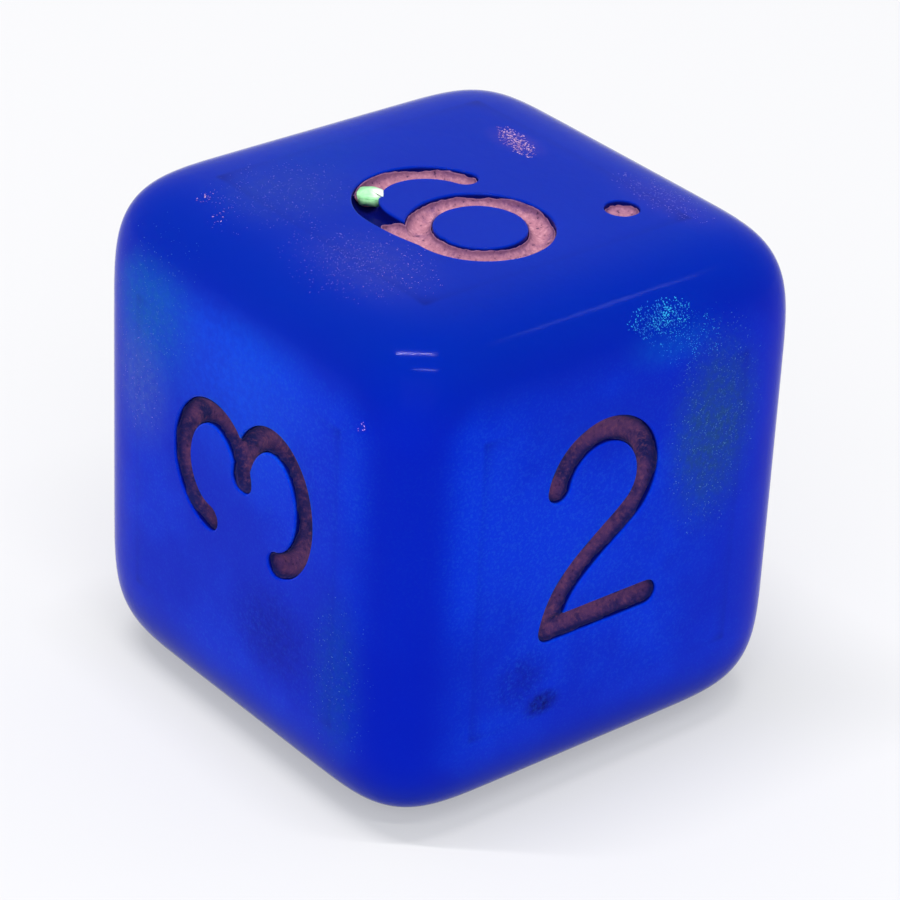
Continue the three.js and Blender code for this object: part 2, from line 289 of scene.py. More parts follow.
def ring_solid(name, ring, outline, seed):
    """The same solid round a closed circular pass."""
    count = int(2 * math.pi * ring["radius"] / PATH_STEP)
    section = [(-r, z) for r, z in reversed(outline[1:-1])] + list(outline)
    cx, cy = ring["centre"]
    points, rings = [], []
    for k in range(count):
        angle = 2 * math.pi * k / count
        x, y = math.cos(angle), math.sin(angle)
        start = len(points)
        for across, height in section:
            reach = ring["radius"] + across * wander((x * 2, y * 2), seed)
            points.append((cx + reach * x, cy + reach * y, height))
        rings.append(list(range(start, start + len(section))))
    return solid_mesh(name, points, woven([*rings, rings[0]]))


def nose(radius, depth, height=None):
    """The rounded floor of a groove, from its middle to where its wall stands upright."""
    height = height or radius
    angles = np.radians(np.linspace(0, 90, NOSE_STEPS + 1))
    return [(radius * math.sin(a), height - depth - height * math.cos(a)) for a in angles]


def cutter_outline(radius, depth, height=None):
    """The rounded floor, the upright wall, the softened rim and the cutter's flat top."""
    rim = []
    for k in range(1, RIM_STEPS + 1):
        a = math.radians(86 * k / RIM_STEPS)
        rim.append((radius + RIM_RADIUS * (1 - math.cos(a)), -RIM_RADIUS + RIM_RADIUS * math.sin(a)))
    tip = (radius + CUTTER_FLARE * RIM_RADIUS, 0.004)
    floor = nose(radius, depth, height=height)
    wall = [(radius, -RIM_RADIUS)] if floor[-1][1] < -RIM_RADIUS - 0.01 else []
    return floor + wall + rim + [tip, (tip[0], CUTTER_TOP), (0, CUTTER_TOP)]


DOT_PLACE = (3.66, -3.43)
DOT_RADIUS, DOT_DEPTH, DOT_NOSE = 0.53, 0.42, 0.3
DOT_SPOKES = 40


def dot_solid(name, outline):
    """A round plunge of the cutter, for the dot beside the six."""
    cx, cy = DOT_PLACE
    points, rings = [], []
    for radius, height in outline:
        start = len(points)
        if radius == 0:
            points.append((cx, cy, height))
            rings.append([start] * DOT_SPOKES)
            continue
        for k in range(DOT_SPOKES):
            angle = 2 * math.pi * k / DOT_SPOKES
            x, y = math.cos(angle), math.sin(angle)
            reach = radius * wander((x, y), 0.0)
            points.append((cx + reach * x, cy + reach * y, height))
        rings.append(list(range(start, start + DOT_SPOKES)))
    return solid_mesh(name, points, woven(rings))


def cut(target, tools, operation="DIFFERENCE"):
    """The target mesh joined with or cut by other meshes, as one plain mesh."""
    piece = shown("bench_piece", target)
    helpers = [shown("bench_tool", tool) for tool in tools]
    for helper in helpers:
        step = piece.modifiers.new("cut", "BOOLEAN")
        step.operation, step.solver, step.object = operation, "EXACT", helper
    ready = piece.evaluated_get(bpy.context.evaluated_depsgraph_get())
    mesh = bpy.data.meshes.new_from_object(ready)
    mesh.name = target.name
    for helper in [piece, *helpers]:
        bpy.data.objects.remove(helper)
    return mesh


def evened(mesh):
    """The mesh shaded from its larger faces, so that the flats look flat up to their rims."""
    piece = shown("bench_piece", mesh)
    step = piece.modifiers.new("shading", "WEIGHTED_NORMAL")
    step.mode, step.weight, step.keep_sharp = "FACE_AREA", 50, False
    ready = piece.evaluated_get(bpy.context.evaluated_depsgraph_get())
    even = bpy.data.meshes.new_from_object(ready)
    even.name = mesh.name
    bpy.data.objects.remove(piece)
    return even


groove_outline = cutter_outline(GROOVE_RADIUS, GROOVE_DEPTH)
cutters = []
for number, (digit, passes) in enumerate(PASSES.items()):
    for path in passes:
        tool = stroke_solid("cutter", path, groove_outline, float(number))
        tool.transform(face_frame(digit))
        cutters.append(tool)
dot_cutter = dot_solid("cutter", cutter_outline(DOT_RADIUS, DOT_DEPTH, DOT_NOSE))
dot_cutter.transform(face_frame("six"))
cutters.append(dot_cutter)

block_mesh = evened(cut(block_blank(), cutters))
block_mesh.transform(Matrix.Scale(MM, 4))
block = shown("resin_block", block_mesh)
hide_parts("die_body")
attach(block, "root")


# ---------------------------------------------------------------------------------------------
# Resin finish
# The resin is tinted deep blue and slightly milky, with clouds where the pearl powder has gathered
# and patches of fine teal and violet dust under the skin, and some darker patches. Shade is painted
# into its colour: darker along the worn edges, which on the real block look darker because they show
# its depth, over the top and bottom faces, on the groove walls, and in two patches low on the two's
# face, where the digit on the bottom shows through. Tumbling leaves the skin smooth, with a soft gloss.
# ---------------------------------------------------------------------------------------------

class Wire:
    """One output in a material's node tree. Arithmetic on it adds Math nodes."""

    def __init__(self, tree, socket=None):
        self.tree, self.socket = tree, socket

    def node(self, kind, settings=None, inputs=None, out=0):
        """Any other node: its settings first, then the values or links of its sockets."""
        made = self.tree.nodes.new(kind)
        for key, value in (settings or {}).items():
            setattr(made, key, value)
        for key, value in (inputs or {}).items():
            socket = made.inputs[key] if isinstance(key, int) else next(
                s for s in made.inputs if key in (s.identifier, s.name))
            if isinstance(value, Wire):
                self.tree.links.new(value.socket, socket)
            else:
                socket.default_value = value
        if not made.outputs:
            return None
        return Wire(self.tree, made.outputs[out] if isinstance(out, int) else next(
            s for s in made.outputs if out in (s.identifier, s.name)))

    def maths(self, operation, *values):
        return self.node("ShaderNodeMath", {"operation": operation}, dict(enumerate(values)))

    def __add__(self, other): return self.maths("ADD", self, other)
    def __radd__(self, other): return self.maths("ADD", other, self)
    def __sub__(self, other): return self.maths("SUBTRACT", self, other)
    def __rsub__(self, other): return self.maths("SUBTRACT", other, self)
    def __mul__(self, other): return self.maths("MULTIPLY", self, other)
    def __rmul__(self, other): return self.maths("MULTIPLY", other, self)

    def size(self):
        """A number without its sign."""
        return self.maths("ABSOLUTE", self)

    def parts(self):
        """The three numbers of a place."""
        outputs = self.node("ShaderNodeSeparateXYZ", {}, {0: self}).socket.node.outputs
        return [Wire(self.tree, output) for output in outputs]

    def ramp(self, low, high):
        """0 below low, 1 above high, smooth between."""
        return self.node("ShaderNodeMapRange", {"interpolation_type": "SMOOTHSTEP"},
                         {"Value": self, "From Min": low, "From Max": high}, "Result")

    def noise(self, scale, detail=3.0, roughness=0.5, shift=0.0):
        """Mottling, from a place: scale is in patches per metre."""
        place = self.node("ShaderNodeVectorMath", {"operation": "ADD"}, {0: self, 1: (shift,) * 3})
        return place.node("ShaderNodeTexNoise", {}, {
            "Vector": place, "Scale": scale, "Detail": detail, "Roughness": roughness}, "Fac")

    def blend(self, first, second):
        """This amount of the second colour over the first."""
        first, second = ((*c, 1) if isinstance(c, tuple) else c for c in (first, second))
        return self.node("ShaderNodeMix", {"data_type": "RGBA"}, {
            "Factor_Float": self, "A_Color": first, "B_Color": second}, "Result_Color")

    def patch(self, centre, reach):
        """1 in the middle of an egg-shaped patch, falling to 0 at its reach."""
        spot = self.node("ShaderNodeMapping", {"vector_type": "TEXTURE"}, {
            "Vector": self, "Location": centre, "Scale": reach}, "Vector")
        away = self.node("ShaderNodeVectorMath", {"operation": "LENGTH"}, {"Vector": spot}, "Value")
        return 1 - away.ramp(0.15, 1.0)

    def bump(self, distance, strength=1.0):
        return self.node("ShaderNodeBump", {}, {
            "Strength": strength, "Distance": distance, "Height": self}, "Normal")


def new_material(name):
    """An empty material and the place each of its points has on the die."""
    made = bpy.data.materials.new(name)
    made.use_nodes = True
    made.node_tree.nodes.clear()
    return made, Wire(made.node_tree).node("ShaderNodeTexCoord", out="Object")


def finish_material(wire, inputs, **volume):
    """The material's one shader and its output, with what fills it if light gets in."""
    shader = wire.node("ShaderNodeBsdfPrincipled", {}, inputs)
    wire.node("ShaderNodeOutputMaterial", {}, {"Surface": shader, **volume})


def on_face(digit, across, up):
    """A place given on a face's own drawing, in metres on the die."""
    return face_frame(digit) @ Vector((across, up, 0)) * MM


def reach_on_face(digit, across, up, depth):
    """Sizes given along a face's own axes, as sizes along the die's."""
    turned = face_frame(digit).to_3x3() @ Vector((across, up, depth)) * MM
    return tuple(abs(size) for size in turned)


DEEP_BLUE, MILKY_BLUE = (0.0, 0.013, 0.42), (0.0, 0.024, 0.54)
PEARL_BLUE = (0.01, 0.10, 0.55)
# Painted shade: darker blues for the worn edges, the top and bottom faces and the groove walls.
EDGE_SHADE_BLUE, TOP_SHADE_BLUE, GROOVE_SHADE_BLUE = (0.0, 0.007, 0.37), (0.0, 0.013, 0.23), (0.002, 0.002, 0.07)

# Dust patches and darker patches: face, middle, reach across, up and in, colour, strength.
DUST_AND_SHADE_PATCHES = [
    ("three", (5.4, 0.2), (6.0, 4.8, 3.0), (0.0, 0.050, 0.62), 0.8),
    ("three", (5.4, 4.6), (4.4, 3.4, 3.0), (0.0, 0.075, 0.36), 0.75),
    ("three", (2.0, 4.9), (2.6, 2.2, 2.5), (0.05, 0.10, 0.40), 0.5),
    ("three", (-3.3, -5.2), (4.0, 1.7, 2.0), (0.0, 0.040, 0.26), 0.6),
    ("three", (-3.2, -2.2), (2.2, 2.8, 2.0), (0.0, 0.004, 0.24), 0.7),
    ("two", (3.8, 2.9), (2.3, 4.4, 2.5), (0.008, 0.045, 0.20), 0.95),
    ("two", (2.0, 6.6), (2.4, 1.5, 2.0), (0.0, 0.12, 0.52), 0.6),
    # Painted shade: these two, low on the left of the two's face, stand for the digit on the bottom seen
    # through the resin.
    ("two", (-2.3, -4.6), (0.9, 0.6, 1.0), (0.0, 0.002, 0.13), 0.95),
    ("two", (-3.2, -3.5), (1.5, 1.4, 1.2), (0.0, 0.005, 0.24), 0.6),
    ("six", (-4.9, -2.2), (2.6, 3.4, 2.0), (0.09, 0.09, 0.36), 0.8),
    ("six", (-4.0, 3.0), (3.2, 2.8, 2.0), (0.055, 0.095, 0.31), 0.8),
    ("six", (-1.4, 4.6), (2.6, 2.2, 2.0), (0.0, 0.050, 0.34), 0.6),
    ("six", (4.0, 1.9), (0.8, 1.5, 2.0), (0.20, 0.10, 0.40), 0.9),
    ("six", (5.2, -3.6), (1.4, 2.8, 2.0), (0.10, 0.05, 0.36), 0.7),
    ("six", (3.4, -6.0), (2.6, 1.6, 2.0), (0.0, 0.03, 0.28), 0.5),
    ("six", (-2.6, -6.2), (6.5, 2.6, 2.0), (0.0, 0.004, 0.26), 0.75),
    ("five", (-3.0, 3.4), (3.6, 3.0, 2.0), (0.0, 0.07, 0.34), 0.7),
    ("five", (4.2, -2.6), (2.4, 3.4, 2.0), (0.06, 0.04, 0.38), 0.55),
    ("four", (-3.4, 3.2), (3.0, 3.6, 2.0), (0.05, 0.05, 0.38), 0.6),
    ("four", (3.8, -3.6), (3.2, 2.6, 2.0), (0.0, 0.08, 0.32), 0.7),
    ("one", (3.6, 2.2), (2.6, 4.0, 2.0), (0.0, 0.06, 0.34), 0.6),
    ("one", (-4.0, -3.0), (2.6, 3.0, 2.0), (0.04, 0.03, 0.36), 0.5),
]


def resin_finish():
    """Clouds and pearl specks, the dust and darker patches, then painted shade: darker edges, ends and groove
    walls.
    """
    made, place = new_material("blue_resin")
    cloud = place.noise(170, 4, 0.55)
    grain = place.noise(4200, 2, 0.6, shift=0.3)
    dust = place.noise(11000, 2, 0.7, shift=0.7)
    colour = cloud.ramp(0.35, 0.7).blend(DEEP_BLUE, MILKY_BLUE)
    ragged = 0.5 + cloud.ramp(0.3, 0.65) * 0.3 + grain.ramp(0.35, 0.7) * 0.45
    for digit, middle, reach, tint, strength in DUST_AND_SHADE_PATCHES:
        amount = place.patch(on_face(digit, *middle), reach_on_face(digit, *reach))
        colour = (amount * ragged * strength).blend(colour, tint)
    specks = dust.ramp(0.46, 0.72) * (0.35 + cloud.ramp(0.4, 0.7) * 0.65)
    colour = (specks * 0.35).blend(colour, PEARL_BLUE)
    off = [part.size() for part in place.parts()]
    skin = BLOCK_HALF * MM
    near = [a.ramp(half - 3.0 * MM, half - 0.3 * MM) for a, half in zip(off, skin)]
    below = [a.ramp(half - 0.012 * MM, half - 0.10 * MM) * a.ramp(half - 0.7 * MM, half - 0.6 * MM)
             for a, half in zip(off, skin)]
    flat = [a.ramp(5.1 * MM, 4.9 * MM) for a in off]
    edge, cut_in = 0.0, 0.0
    for a, b, c in ((0, 1, 2), (1, 2, 0), (2, 0, 1)):
        edge = near[a] * near[b] + edge
        cut_in = below[a] * flat[b] * flat[c] + cut_in
    # Painted shade: the worn edges darker, as the real block looks darker where one sees deep into it.
    colour = (edge.ramp(0.0, 0.7) * 0.8).blend(colour, EDGE_SHADE_BLUE)
    # Painted shade: the top and bottom faces darker, as the top gets the most light.
    colour = (near[2] * 0.85).blend(colour, TOP_SHADE_BLUE)
    # Painted shade: the groove walls and floors below the skin darker.
    colour = (cut_in * 0.9).blend(colour, GROOVE_SHADE_BLUE)
    depth = place.noise(2200, 2, 0.6)
    absorbed = place.node("ShaderNodeVolumeAbsorption", {}, {
        "Color": (0.01, 0.08, 0.85, 1), "Density": 400})
    finish_material(place, {
        "Base Color": colour, "Roughness": 0.075 + 0.04 * cloud + 0.03 * grain, "IOR": 1.5,
        "Specular IOR Level": 0.026, "Specular Tint": (0.6, 0.6, 1.0, 1),
        "Transmission Weight": 0.05, "Subsurface Weight": 0.35,
        "Subsurface Radius": (0.1, 0.3, 1.0), "Subsurface Scale": 0.0018,
        "Normal": (depth + 0.5 * grain).bump(0.000012, 0.5),
    }, Volume=absorbed)
    return made


block.data.materials.clear()
block.data.materials.append(resin_finish())


# ---------------------------------------------------------------------------------------------
# Digit paint
# The grooves are filled with a thin matt copper-pink paint and the face is wiped clean. It dries as
# a gritty lining, thickest on the floor and ragged where the wiping pulled it off the walls. Shade is
# painted into its colour: blue-black up the walls, darker and bluer on the side faces, and paler and
# pinker on the six on top, where the light falls.
# ---------------------------------------------------------------------------------------------

PAINT_RADIUS, PAINT_DEPTH = 0.382, 0.502
PAINT_TOP = -0.05
HOLLOW_RADIUS, HOLLOW_DEPTH = 0.35, 0.41
HOLLOW_NOSE, HOLLOW_TOP = 0.33, 0.3
PAINT_RAGGED = 0.13             # how far the wiping pulled the paint down the walls
PAINT_LUMPS = 0.012             # how uneven it dried on the floor
DOT_GAP = 0.018                 # from the dot's paint to the resin
DOT_HOLLOW_RADIUS, DOT_HOLLOW_DEPTH, DOT_HOLLOW_NOSE = 0.48, 0.30, 0.24


def ragged(mesh, seed):
    """Pulls the paint's upper edge down unevenly and roughens its floor."""
    for point in mesh.vertices:
        x, y, z = point.co
        slow = noise.noise(Vector((x * 1.1, y * 1.1, seed)))
        fast = noise.noise(Vector((x * 6, y * 6, seed + 5)))
        share = min(max((z + 0.3) / 0.2, 0), 1)
        point.co.z -= share * PAINT_RAGGED * min(max(0.45 + slow + 0.45 * fast, 0), 1.3)
        point.co.z += (1 - share) * PAINT_LUMPS * fast
    return mesh


def paint_mesh(name, passes, seed):
    """The lining of one digit: a coat as deep as the groove, hollowed out."""
    coat = nose(PAINT_RADIUS, PAINT_DEPTH) + [(PAINT_RADIUS, PAINT_TOP), (0, PAINT_TOP)]
    hollow = nose(HOLLOW_RADIUS, HOLLOW_DEPTH, height=HOLLOW_NOSE) + [
        (HOLLOW_RADIUS, HOLLOW_TOP), (0, HOLLOW_TOP)]
    coats = [stroke_solid(name, path, coat, seed) for path in passes]
    hollows = [stroke_solid(name, path, hollow, seed) for path in passes]
    whole = cut(coats[0], coats[1:], "UNION") if coats[1:] else coats[0]
    return ragged(cut(whole, hollows), seed)


def paint_finish():
    """Copper paint with painted shade: blue-black up the walls, darker and bluer on the side faces, paler on
    the six on top, where the light falls.
    """
    made, place = new_material("digit_paint")
    blotch, grain = place.noise(1100, 4, 0.6), place.noise(7000, 3, 0.65, shift=0.4)
    parts = place.parts()
    floor = 0.0
    for part, half in zip(parts, BLOCK_HALF * MM):
        under = half - part.size()
        floor = under.ramp(0.14 * MM, 0.40 * MM) * under.ramp(0.8 * MM, 0.7 * MM) + floor
    six = parts[2].ramp(7 * MM, 7.4 * MM)
    # Painted shade: the side faces' paint navy up the walls and dark purple on the floor; the six's paint on
    # top painted paler and pinker, where the light falls, its walls still darker.
    thin = (floor * blotch.ramp(0.30, 0.62)).blend((0.006, 0.008, 0.075), (0.085, 0.030, 0.105))
    top_paint_in_light = (0.35 + floor * 0.65) * blotch.ramp(0.25, 0.55)
    top_paint_in_light = top_paint_in_light.blend((0.10, 0.04, 0.13), (0.35, 0.15, 0.20))
    colour = six.blend(thin, top_paint_in_light)
    # Pale grit, painted paler still on the six on top, where the light falls.
    light = six.blend((0.17, 0.055, 0.11), (0.58, 0.29, 0.34))
    colour = (grain.ramp(0.45, 0.75) * (0.15 + floor * 0.45)).blend(colour, light)
    colour = (grain.ramp(0.42, 0.28) * 0.8).blend(colour, (0.020, 0.008, 0.05))
    finish_material(place, {
        "Base Color": colour, "Roughness": 0.7 + 0.2 * blotch, "Specular IOR Level": 0.12,
        "Normal": (grain + blotch).bump(0.00005, 0.8)})
    return made


def settle(name, mesh, digit, finish, nodes):
    """Moves a mesh drawn on a face to its place on the die."""
    mesh.transform(face_frame(digit))
    mesh.transform(Matrix.Scale(MM, 4))
    return seated(name, mesh, finish, nodes)


def seated(name, mesh, finish, nodes):
    """A finished mesh in its place on the die, standing in for frame nodes."""
    mesh.name = name
    mesh.materials.clear()
    mesh.materials.append(finish)
    piece = shown(name, mesh)
    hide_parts(*nodes)
    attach(piece, "root")
    return piece


paint = paint_finish()
COATS = {
    "one_paint": ("one", PASSES["one"]), "two_paint": ("two", PASSES["two"]),
    "three_paint": ("three", PASSES["three"]), "four_paint": ("four", PASSES["four"]),
    "five_paint": ("five", PASSES["five"]),
    "six_hook_paint": ("six", [evenly(arc(HOOK_CENTRE, HOOK_RADII, 20, 126))]),
    "six_bowl_paint": ("six", [evenly(STEM_FOOT[9:]), RING]),
}
for number, (name, (digit, passes)) in enumerate(COATS.items()):
    coat = paint_mesh(name, passes, float(number))
    settle(name.replace("paint", "coat"), coat, digit, paint, [name])

dot_coat = nose(DOT_RADIUS - DOT_GAP, DOT_DEPTH - DOT_GAP, height=DOT_NOSE) + [
    (DOT_RADIUS - DOT_GAP, PAINT_TOP), (0, PAINT_TOP)]
dot_hollow = nose(DOT_HOLLOW_RADIUS, DOT_HOLLOW_DEPTH, height=DOT_HOLLOW_NOSE) + [
    (DOT_HOLLOW_RADIUS, HOLLOW_TOP), (0, HOLLOW_TOP)]
dot_paint = ragged(cut(dot_solid("six_dot", dot_coat), [dot_solid("six_dot", dot_hollow)]), 8.0)
settle("six_dot_coat", dot_paint, "six", paint, ["six_dot_paint"])


# ---------------------------------------------------------------------------------------------
# Green chip
# A broken chip of pale green plastic from the tumbling barrel, jammed in the groove of the six. It
# stands a little proud, its broken side catches the light, and the paint has gone below it.
# ---------------------------------------------------------------------------------------------

CHIP_PLACE, CHIP_TURN = (-1.96, 1.45), 52
CHIP_BLUNT = 0.035
CHIP_CORNERS = [                # along the groove, across it, height
    (-0.16, -0.22, -0.36), (0.02, -0.34, -0.40), (0.26, -0.33, -0.40), (0.42, -0.06, -0.38),
    (0.38, 0.24, -0.42), (0.04, 0.36, -0.38), (-0.10, 0.26, -0.36), (-0.34, -0.20, -0.07),
    (-0.24, -0.42, 0.0), (0.28, -0.42, 0.02), (0.44, -0.10, 0.05), (0.40, 0.32, 0.04),
    (0.04, 0.42, 0.02), (-0.22, 0.34, -0.06), (-0.36, 0.06, -0.05), (0.14, 0.04, 0.07),
    (-0.12, -0.18, 0.03),
]


def chip_mesh():
    """A lump with flat broken sides and slightly blunted edges."""
    work = bmesh.new()
    corners = [work.verts.new(corner) for corner in CHIP_CORNERS]
    bmesh.ops.convex_hull(work, input=corners)
    bmesh.ops.delete(work, geom=[v for v in work.verts if not v.link_faces], context="VERTS")
    bmesh.ops.bevel(work, geom=list(work.edges), offset=CHIP_BLUNT, segments=2, affect="EDGES")
    bmesh.ops.recalc_face_normals(work, faces=work.faces)
    mesh = bpy.data.meshes.new("chip")
    work.to_mesh(mesh)
    work.free()
    mesh.transform(Matrix.Rotation(math.radians(CHIP_TURN), 4, "Z"))
    mesh.transform(Matrix.Translation((*CHIP_PLACE, 0)))
    mesh.shade_smooth()
    return mesh


def chip_finish():
    """Pale green, with a painted highlight: the corner where the broken side catches the light is painted
    nearly white.
    """
    made, place = new_material("green_plastic")
    painted_glint = place.patch(on_face("six", CHIP_PLACE[0] + 0.28, CHIP_PLACE[1] - 0.14), (0.00038,) * 3)
    blotch, grain = place.noise(1300, 3, 0.6), place.noise(9000, 2, 0.6)
    colour = blotch.ramp(0.3, 0.7).blend((0.20, 0.52, 0.24), (0.46, 0.80, 0.44))
    # Painted highlight: the broken corner painted nearly white.
    colour = painted_glint.blend(colour, (0.90, 0.97, 0.84))
    finish_material(place, {
        "Base Color": colour, "Roughness": 0.42 + 0.2 * grain, "Subsurface Weight": 0.2,
        "Subsurface Radius": (0.5, 1.0, 0.5), "Subsurface Scale": 0.0004,
        "Normal": grain.bump(0.00002, 0.6)})
    return made


settle("green_chip", chip_mesh(), "six", chip_finish(), ["green_fleck"])


# ---------------------------------------------------------------------------------------------
# Film flakes
# Scraps of iridescent film a few hundredths of a millimetre thick, stirred into the resin before it
# was poured. They drifted together as it set, and polishing has cut through the ones at the skin.
# ---------------------------------------------------------------------------------------------

FLAKE_THICKNESS = 0.02
FLAKE_WIDTH = 0.42              # as a share of its length
FLAKE_TORN = 0.45               # how far its outline strays
FLAKE_CORNERS = 7
FLAKE_TILT = 0.10
FLAKE_DEPTH_REACH = 2           # how far a cluster reaches in from its face


def scrap_mesh(seed):
    """One flat scrap about a millimetre across, with a torn outline."""
    count = FLAKE_CORNERS
    points = []
    for height in (-0.5, 0.5):
        for k in range(count):
            angle = 2 * math.pi * k / count
            x, y = math.cos(angle), math.sin(angle)
            torn = 0.5 * (1 + FLAKE_TORN * noise.noise(Vector((3 * x, 3 * y, seed))))
            points.append((torn * x, FLAKE_WIDTH * torn * y, height * FLAKE_THICKNESS))
    sides = [[k, (k + 1) % count, count + (k + 1) % count, count + k] for k in range(count)]
    mesh = solid_mesh("scrap", points, [list(range(count)), list(range(count, 2 * count)), *sides])
    mesh.shade_flat()
    return mesh


class Patch:
    """A Geometry Nodes tree under construction: each call adds a node and hands back its output."""

    def __init__(self, name):
        self.tree = bpy.data.node_groups.new(name, "GeometryNodeTree")

    def socket(self, name, kind, way="INPUT"):
        """A named input or output of the tree; hands back its identifier."""
        return self.tree.interface.new_socket(name=name, in_out=way, socket_type=kind).identifier

    def add(self, kind, settings=None, inputs=None, out=0):
        node = self.tree.nodes.new(kind)
        for key, value in (settings or {}).items():
            setattr(node, key, value)
        for key, value in (inputs or {}).items():
            socket = node.inputs[key] if isinstance(key, int) else next(
                s for s in node.inputs if key in (s.identifier, s.name) and s.enabled)
            if isinstance(value, bpy.types.NodeSocket):
                self.tree.links.new(value, socket)
            else:
                socket.default_value = value
        if not node.outputs:
            return None
        return node.outputs[out] if isinstance(out, int) else next(
            s for s in node.outputs if out == s.name and s.enabled)


def flake_scatter():
    """Scraps scattered over the skin round one place, thinning out towards the edge of the patch."""
    patch = Patch("flake_scatter")
    names = {
        "Skin": "NodeSocketGeometry", "Scrap": "NodeSocketObject", "Finish": "NodeSocketMaterial",
        "Seed": "NodeSocketInt", "Per Area": "NodeSocketFloat", "Centre": "NodeSocketVector",
        "Reach": "NodeSocketVector", "Turn": "NodeSocketRotation", "Size": "NodeSocketFloat",
        "Tilt": "NodeSocketFloat"}
    keys = {name: patch.socket(name, kind) for name, kind in names.items()}
    patch.socket("Flakes", "NodeSocketGeometry", "OUTPUT")
    given = patch.tree.nodes.new("NodeGroupInput")
    given = {name: given.outputs[name] for name in names}

    # How far each place is from the middle of the patch, as a share of its reach.
    place = patch.add("GeometryNodeInputPosition")
    offset = patch.add("ShaderNodeVectorMath", {"operation": "SUBTRACT"}, {0: place, 1: given["Centre"]})
    turned = patch.add("FunctionNodeRotateVector", {}, {"Vector": offset, "Rotation": given["Turn"]})
    scaled = patch.add("ShaderNodeVectorMath", {"operation": "DIVIDE"}, {0: turned, 1: given["Reach"]})
    away = patch.add("ShaderNodeVectorMath", {"operation": "LENGTH"}, {0: scaled}, "Value")

    # Places all over the skin, of which those inside the patch stay, fewer towards its edge.
    points = patch.add("GeometryNodeDistributePointsOnFaces", {"distribute_method": "RANDOM"}, {
        "Mesh": given["Skin"], "Density": given["Per Area"], "Seed": given["Seed"]})
    inside = patch.add("FunctionNodeCompare", {"data_type": "FLOAT", "operation": "LESS_THAN"}, {
        "A": away, "B": 1.0})
    outside = patch.add("FunctionNodeBooleanMath", {"operation": "NOT"}, {0: inside})
    kept = patch.add("GeometryNodeDeleteGeometry", {"domain": "POINT"}, {
        "Geometry": points, "Selection": outside})
    thin = patch.add("FunctionNodeRandomValue", {"data_type": "FLOAT"}, {
        "Min": 0.0, "Max": 1.1, "Seed": 7}, 1)
    lost = patch.add("FunctionNodeCompare", {"data_type": "FLOAT", "operation": "GREATER_THAN"}, {
        "A": away, "B": thin})
    kept = patch.add("GeometryNodeDeleteGeometry", {"domain": "POINT"}, {
        "Geometry": kept, "Selection": lost})

    # A scrap at each, lying along the skin, turned at random and a little tilted.
    spin = patch.add("FunctionNodeRandomValue", {"data_type": "FLOAT_VECTOR"}, {
        0: (-1, -1, -3.14), 1: (1, 1, 3.14), "Seed": 11}, 0)
    lean = patch.add("ShaderNodeCombineXYZ", {}, {0: given["Tilt"], 1: given["Tilt"], 2: 1.0})
    spin = patch.add("ShaderNodeVectorMath", {"operation": "MULTIPLY"}, {0: spin, 1: lean})
    spin = patch.add("FunctionNodeEulerToRotation", {}, {0: spin})
    turn = patch.add("FunctionNodeRotateRotation", {"rotation_space": "LOCAL"}, {
        0: points.node.outputs["Rotation"], 1: spin})
    size = patch.add("FunctionNodeRandomValue", {"data_type": "FLOAT"}, {
        "Min": 0.35, "Max": 1.0, "Seed": 5}, 1)
    size = patch.add("ShaderNodeMath", {"operation": "MULTIPLY"}, {0: size, 1: given["Size"]})
    scrap = patch.add("GeometryNodeObjectInfo", {}, {"Object": given["Scrap"]}, "Geometry")
    laid = patch.add("GeometryNodeInstanceOnPoints", {}, {
        "Points": kept, "Instance": scrap, "Rotation": turn, "Scale": size})
    real = patch.add("GeometryNodeRealizeInstances", {}, {0: laid})
    done = patch.add("GeometryNodeSetMaterial", {}, {"Geometry": real, "Material": given["Finish"]})
    patch.add("NodeGroupOutput", {}, {0: done})
    return patch.tree, keys


def film_finish(name, low, high):
    """Colour-shifting film: metallic, each part of it a slightly different hue."""
    made, place = new_material(name)
    hue, grain = place.noise(2300, 2, 0.5), place.noise(8000, 2, 0.6)
    finish_material(place, {
        "Base Color": hue.ramp(0.35, 0.65).blend(low, high), "Metallic": 0.35 + 0.4 * grain,
        "Roughness": 0.25 + 0.25 * grain, "Normal": grain.bump(0.00001, 0.4)})
    return made


